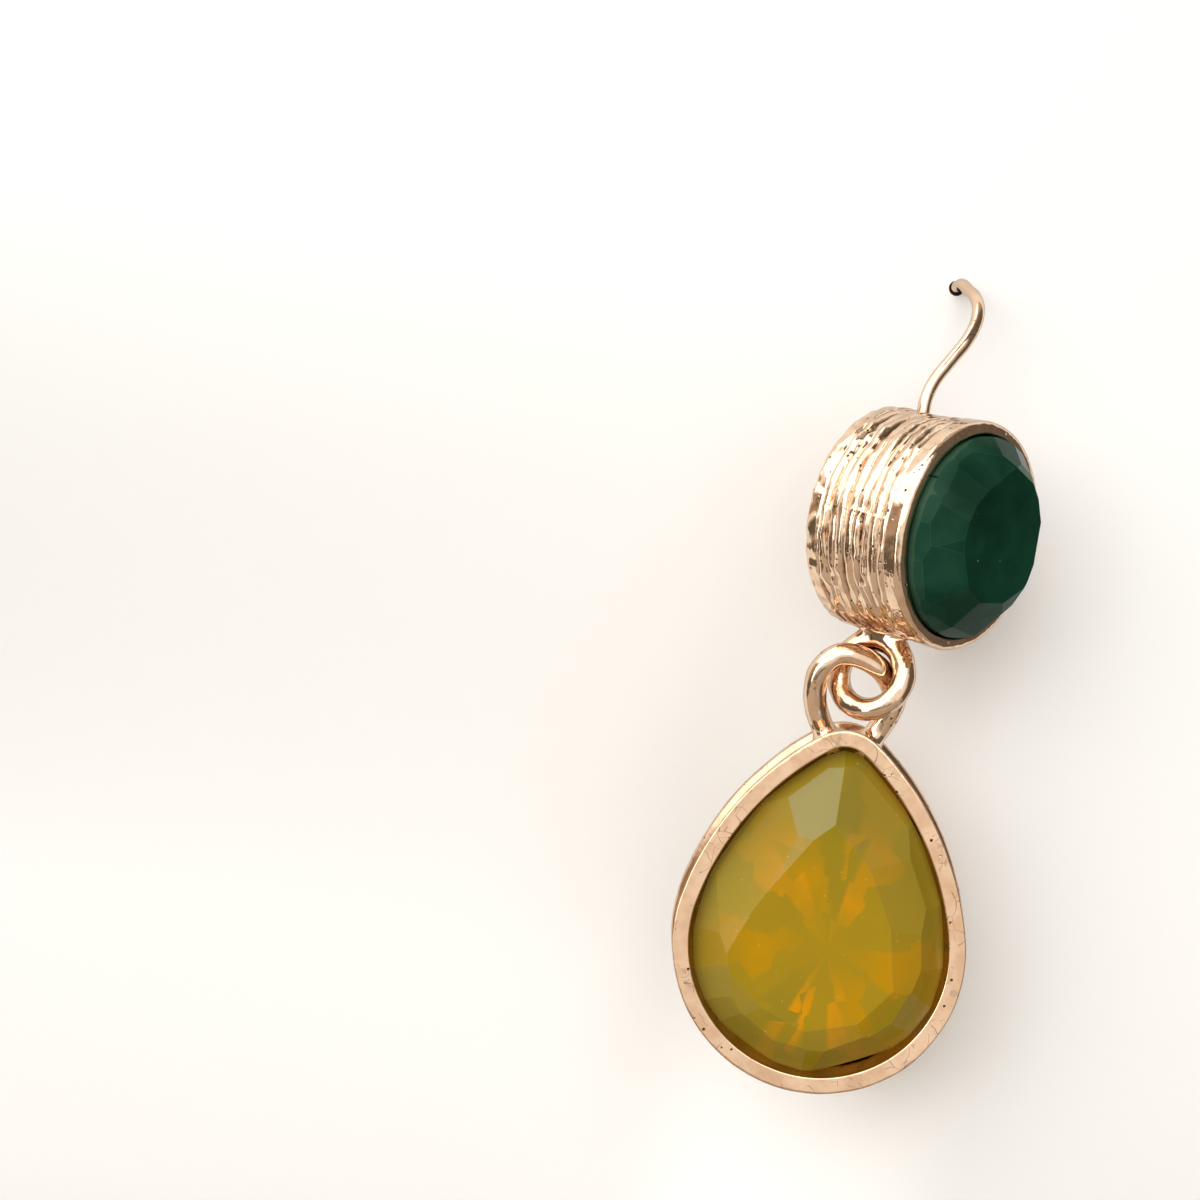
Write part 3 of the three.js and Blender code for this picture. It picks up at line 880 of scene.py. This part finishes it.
def green_stone():
    """Deep green, a little cloudy, with a few pale specks, and painted reflections that make it paler
    through some facets.
    """
    material, nodes, links = node_material("green_stone")
    shader = nodes["Principled BSDF"]
    place = millimetres(nodes, links)
    cloud = linked(nodes, links, "ShaderNodeTexNoise", Vector=place, Scale=0.28, Detail=4.0)
    shade = mapped(nodes, links, cloud.outputs["Fac"], 0.35, 0.7)
    deep = tinted(nodes, links, shade, (0.0030, 0.030, 0.016), (0.008, 0.056, 0.033))
    pale = tinted(nodes, links, shade, (0.050, 0.098, 0.060), (0.11, 0.175, 0.110))
    # Painted reflections and highlights: paler where the facet_tone says
    colour = tinted(nodes, links, attribute(nodes, "facet_tone"), deep, pale)
    colour = specks(nodes, links, place, colour, 0.8, 0.045, (0.25, 0.36, 0.30))
    links.new(colour, shader.inputs["Base Color"])
    shader.inputs["Roughness"].default_value = 0.06
    shader.inputs["Specular IOR Level"].default_value = 0.05
    return material


# The amber stone's inner star, seen through its table: the azimuth where each ray starts, its colour. The
# rays are painted light, the flashes of the pavilion's facets painted onto the surface as rays of colour,
# and spread from the point of the pavilion.
STAR_CENTRE = Vector((0.52, -2.0, 0.32))
OLIVE = (0.33, 0.212, 0.007)
DARK_OLIVE = (0.275, 0.19, 0.010)
RIM_OLIVE = (0.225, 0.168, 0.006)
HONEY = (0.43, 0.222, 0.001)
ORANGE = (0.58, 0.245, 0.0005)
STAR_RAYS = [
    (-180, HONEY), (-158, OLIVE), (-133, DARK_OLIVE), (-112, ORANGE), (-104, OLIVE), (-78, ORANGE),
    (-66, HONEY), (-40, OLIVE), (-22, HONEY), (10, OLIVE), (62, ORANGE), (86, DARK_OLIVE),
    (100, HONEY), (118, ORANGE), (138, OLIVE), (171, HONEY),
]
STAR_REACH = 7.4


def star_colours(nodes, links, turn, soft):
    """The colour of each ray by its direction, with edges as soft as given, in degrees."""
    share = mapped_linear(nodes, links, turn, -math.pi, math.pi)
    ramp = nodes.new("ShaderNodeValToRGB")
    links.new(share, ramp.inputs["Fac"])
    stops = []
    for (start, colour), (end, _) in zip(STAR_RAYS, STAR_RAYS[1:] + [(180, None)]):
        stops.append(((start + soft + 180) / 360, colour))
        stops.append(((end - soft + 180) / 360, colour))
    elements = ramp.color_ramp.elements
    for element, (position, colour) in zip(elements, (stops[0], stops[-1])):
        element.position = position
        element.color = (*colour, 1)
    for position, colour in stops[1:-1]:
        elements.new(position).color = (*colour, 1)
    return ramp.outputs["Color"]


def amber_stone():
    """Olive amber, olive toward the rim, with a painted star of orange rays for the flashes of light from
    its pavilion, and painted reflections that make it paler through some facets.
    """
    material, nodes, links = node_material("amber_stone")
    shader = nodes["Principled BSDF"]
    place = millimetres(nodes, links)
    cloud = linked(nodes, links, "ShaderNodeTexNoise", Vector=place, Scale=0.30, Detail=4.0)
    wisps = linked(
        nodes, links, "ShaderNodeTexNoise", Vector=place, Scale=0.55, Detail=5.0, Distortion=1.2
    )
    centre = PEAR_PLACE @ STAR_CENTRE
    across, upward = (PEAR_PLACE.to_3x3() @ Vector(axis) for axis in ((1, 0, 0), (0, 0, 1)))
    x = along(nodes, links, place, centre, across)
    z = along(nodes, links, place, centre, upward)
    bend = mapped_linear(nodes, links, wisps.outputs["Fac"], 0, 1, -0.45, 0.45)
    turn = calculated(nodes, links, "ARCTAN2", calculated(nodes, links, "ADD", z, bend), x)
    shards = linked(nodes, links, "ShaderNodeTexVoronoi", Vector=place, Scale=0.42)
    shift = mapped_linear(nodes, links, shards.outputs["Color"], 0, 1, -0.24, 0.24)
    turn = calculated(nodes, links, "ADD", turn, shift)
    # Painted light: the rays of the pavilion's flashes
    colour = star_colours(nodes, links, turn, 1.4)
    reach = calculated(
        nodes, links, "SQRT",
        calculated(
            nodes, links, "ADD",
            calculated(nodes, links, "MULTIPLY", x, x), calculated(nodes, links, "MULTIPLY", z, z),
        ),
        0.0,
    )
    core = mapped(nodes, links, reach, 1.0, 4.2, 0.85, 0.0)
    colour = tinted(nodes, links, core, colour, OLIVE)
    edge = mapped(nodes, links, reach, STAR_REACH - 3.4, STAR_REACH + 1.0, 0.0, 0.8)
    colour = tinted(nodes, links, edge, colour, RIM_OLIVE)
    veil = mapped(nodes, links, cloud.outputs["Fac"], 0.42, 0.68, 0.0, 0.55)
    colour = tinted(nodes, links, veil, colour, (0.29, 0.2, 0.009))
    # Painted reflections: paler where the facet_tone says
    tone = mapped_linear(nodes, links, attribute(nodes, "facet_tone"), 0.0, 1.0)
    colour = tinted(nodes, links, tone, colour, (0.30, 0.27, 0.12))
    colour = specks(nodes, links, place, colour, 1.3, 0.055, (0.62, 0.50, 0.20))
    links.new(colour, shader.inputs["Base Color"])
    shader.inputs["Roughness"].default_value = 0.05
    shader.inputs["Specular IOR Level"].default_value = 0.07
    return material


# The object's pieces
WALL_METAL = rose_gold(
    "hammered_rose_gold", (0.80, 0.56, 0.38), (0.90, 0.68, 0.50), 0.055, 1.0, 0.005, 0.8, 0.2
)
WIRE_METAL = rose_gold(
    "drawn_rose_gold", (0.80, 0.56, 0.38), (0.90, 0.68, 0.50), 0.04, 1.1, 0.002, 0.3, 0.1
)
RIM_METAL = rose_gold(
    "scratched_rose_gold", (0.67, 0.435, 0.275), (0.81, 0.565, 0.39), 0.035, 1.4, 0.003, 0.5, 0.7
)
GREEN = green_stone()
AMBER = amber_stone()

hook = make_hook()
oval_cup = make_oval_setting()
upper_path, lower_path = upper_loop_path(), lower_loop_path()
upper_loop = make_upper_loop(upper_path)
pear_cup = make_pear_setting()
lower_loop = make_lower_loop(lower_path)
# Painted shade in the crevices where the loops and the oval cup come close to each other
paint_crevice_shade(upper_loop, lambda points: wire_distance(points, lower_path, LOOP_WIRE / 2, closed=False))
paint_crevice_shade(lower_loop, lambda points: wire_distance(points, upper_path, LOOP_WIRE / 2))
paint_crevice_shade(oval_cup, lambda points: wire_distance(points, upper_path, LOOP_WIRE / 2))
oval_stone = cut_gem(
    "oval_stone_cut", lambda offset: oval_outline(offset, 192), -OVAL_RIM - OVAL_STONE_GAP,
    OVAL_DEPTH + OVAL_PROUD - 0.2, OVAL_DEPTH + OVAL_PROUD + OVAL_CROWN, OVAL_DEPTH,
    GREEN_FACETS + girdle_cuts(GREEN_GIRDLE, oval_outline), GREEN_TABLE_TONE, OVAL_PLACE,
)
pear_stone = cut_gem(
    "pear_stone_cut", pear_outline, -PEAR_STONE_GAP,
    PEAR_DEPTH - 0.3, PEAR_DEPTH - 0.3 + PEAR_CROWN, PEAR_DEPTH,
    AMBER_FACETS + girdle_cuts(AMBER_GIRDLE, pear_outline), AMBER_TABLE_TONE, PEAR_PLACE,
)

for piece, body, slot, material in (
    (hook, "ear_top", "rose_gold", WIRE_METAL),
    (oval_cup, "ear_top", "rose_gold", WALL_METAL),
    (upper_loop, "ear_top", "rose_gold", WIRE_METAL),
    (pear_cup, "pear_drop", "rose_gold", RIM_METAL),
    (lower_loop, "pear_drop", "rose_gold", WIRE_METAL),
    (oval_stone, "ear_top", "green_stone", GREEN),
    (pear_stone, "pear_drop", "amber_stone", AMBER),
):
    piece.data.materials.append(material)
    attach(piece, body)

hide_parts("hook_and_oval_setting")
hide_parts("pear_setting")
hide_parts("oval_stone")
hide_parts("pear_stone")


# The backdrop, the floor, the light and the camera
WALL_NEAR = 0.9
WALL_RECESS = 10.0
WALL_LEFT = -76
FLOOR_HEIGHT = -75
FLOOR_REACH = 76
HOLE = Vector((-0.12, 0, 0.30))


def wall_depth(x, z):
    """The wall stands close behind the hook, and gives way where the drop swings back."""
    return WALL_NEAR + WALL_RECESS * smooth_step(-8, 10, -x) * smooth_step(2, 50, -z)


def one_sided(nodes, links, shader):
    """The backdrop's material shows from its front alone."""
    side = nodes.new("ShaderNodeNewGeometry")
    clear = nodes.new("ShaderNodeBsdfTransparent")
    mix = nodes.new("ShaderNodeMixShader")
    links.new(side.outputs["Backfacing"], mix.inputs[0])
    links.new(shader.outputs[0], mix.inputs[1])
    links.new(clear.outputs[0], mix.inputs[2])
    links.new(mix.outputs[0], nodes["Material Output"].inputs["Surface"])


def make_stage():
    """The wall behind, with a dark disc of painted shade where the hook goes through it, and the floor."""
    material, nodes, links = node_material("pale_paper")
    shader = nodes["Principled BSDF"]
    shader.inputs["Base Color"].default_value = (0.92, 0.925, 0.925, 1)
    shader.inputs["Roughness"].default_value = 0.9
    shader.inputs["Specular IOR Level"].default_value = 0.0
    one_sided(nodes, links, shader)
    columns = [WALL_LEFT + 2 * i for i in range(54)]
    rows = [FLOOR_HEIGHT + 2 * i for i in range(67)]
    points = [(x, wall_depth(x, z), z) for z in rows for x in columns]
    wide = len(columns)
    faces = [
        (r * wide + c, r * wide + c + 1, (r + 1) * wide + c + 1, (r + 1) * wide + c)
        for r in range(len(rows) - 1)
        for c in range(wide - 1)
    ]
    wall = new_piece("backdrop", points, faces)
    floor_material, nodes, links = node_material("pale_floor")
    shader = nodes["Principled BSDF"]
    shader.inputs["Base Color"].default_value = (0.46, 0.405, 0.35, 1)
    shader.inputs["Roughness"].default_value = 0.8
    floor = new_piece(
        "floor",
        [(x * FLOOR_REACH, y * FLOOR_REACH, FLOOR_HEIGHT) for x, y in ((-1, -1), (1, -1), (1, 1), (-1, 1))],
        [(0, 1, 2, 3)],
    )
    # Painted shade: a dark disc on the wall's face stands in for the shade inside the hole
    dark, nodes, links = node_material("hole_shade")
    nodes["Principled BSDF"].inputs["Base Color"].default_value = (0.02, 0.008, 0.004, 1)
    nodes["Principled BSDF"].inputs["Roughness"].default_value = 1.0
    sides, radius = 32, 0.5
    hole = new_piece(
        "wall_hole",
        [
            HOLE + Vector((math.cos(a) * radius, WALL_NEAR - 0.02, math.sin(a) * radius))
            for a in (2 * math.pi * i / sides for i in range(sides))
        ],
        [tuple(range(sides))],
    )
    for obj, look in ((wall, material), (floor, floor_material), (hole, dark)):
        obj.data.materials.append(look)


def area_light(name, place, target, width, height, radiance, colour):
    """A soft panel of light as bright as radiance, in the units of the picture."""
    data = bpy.data.lights.new(name, "AREA")
    data.shape = "RECTANGLE"
    data.size = width * MM
    data.size_y = height * MM
    data.energy = radiance * math.pi * width * height * MM * MM
    data.color = colour
    light = bpy.data.objects.new(name, data)
    light.location = Vector(place) * MM
    light.rotation_euler = (Vector(target) - Vector(place)).to_track_quat("-Z", "Y").to_euler()
    scene.collection.objects.link(light)
    return light


def sky_patch(nodes, links, view, direction, inner, outer):
    """One where a direction of the sky is within the inner angle, fading to none at the outer."""
    dot = nodes.new("ShaderNodeVectorMath")
    dot.operation = "DOT_PRODUCT"
    links.new(view, dot.inputs[0])
    dot.inputs[1].default_value = Vector(direction).normalized()
    return mapped(
        nodes, links, dot.outputs["Value"], math.cos(math.radians(outer)), math.cos(math.radians(inner))
    )


SKY_BASE = (0.15, 0.125, 0.10)
SKY_PATCHES = [
    # direction, inner angle, outer angle, colour
    ((0.0, -1.0, 0.0), 26, 56, (1.08, 1.05, 0.99)),
    ((-0.2, 0.3, 1.0), 25, 50, (0.55, 0.50, 0.43)),
    ((-0.72, -0.05, 0.68), 26, 38, (2.4, 2.35, 2.28)),
    ((-0.77, -0.64, 0.1), 12, 20, (3.0, 2.95, 2.85)),
    ((1.0, 0.1, -0.1), 25, 50, (0.15, 0.125, 0.10)),
    ((-1.0, 0.05, 0.0), 6, 24, (0.50, 0.38, 0.27)),
    ((-0.2, -0.5, -1.0), 22, 52, (0.13, 0.10, 0.08)),
]


def make_light():
    """The key, a strip at the left, and a sky with a few bright and dark patches."""
    target = (-2, -5, -26)
    area_light("key", (-52, -175, 64), target, 200, 200, 1.65, (1, 0.99, 0.97))
    strip = area_light("side_strip", (-84, -66, -48), target, 26, 56, 2.4, (1, 0.98, 0.95))
    # The strip is a reflection in the metal alone
    strip.visible_diffuse = False
    world = bpy.data.worlds.new("studio")
    scene.world = world
    world.use_nodes = True
    nodes, links = world.node_tree.nodes, world.node_tree.links
    view = nodes.new("ShaderNodeTexCoord").outputs["Generated"]
    colour = SKY_BASE
    for direction, inner, outer, patch_colour in SKY_PATCHES:
        patch = sky_patch(nodes, links, view, direction, inner, outer)
        colour = tinted(nodes, links, patch, colour, patch_colour)
    links.new(colour, nodes["Background"].inputs["Color"])


def make_camera():
    """The camera, level but for its roll, looking along +Y."""
    roll = math.radians(CAMERA_ROLL)
    right = Vector((math.cos(roll), 0, math.sin(roll)))
    up = Vector((-math.sin(roll), 0, math.cos(roll)))
    back = Vector((0, -1, 0))
    data = bpy.data.cameras.new("camera")
    data.sensor_width = SENSOR
    data.lens = FOCAL_LENGTH
    data.clip_start = 0.001
    data.clip_end = 10
    camera = bpy.data.objects.new("camera", data)
    camera.matrix_world = Matrix.Translation(CAMERA_PLACE * MM) @ Matrix(
        (right, up, back)
    ).transposed().to_4x4()
    scene.collection.objects.link(camera)
    scene.camera = camera


make_stage()
make_light()
make_camera()
scene.view_settings.view_transform = "Standard"
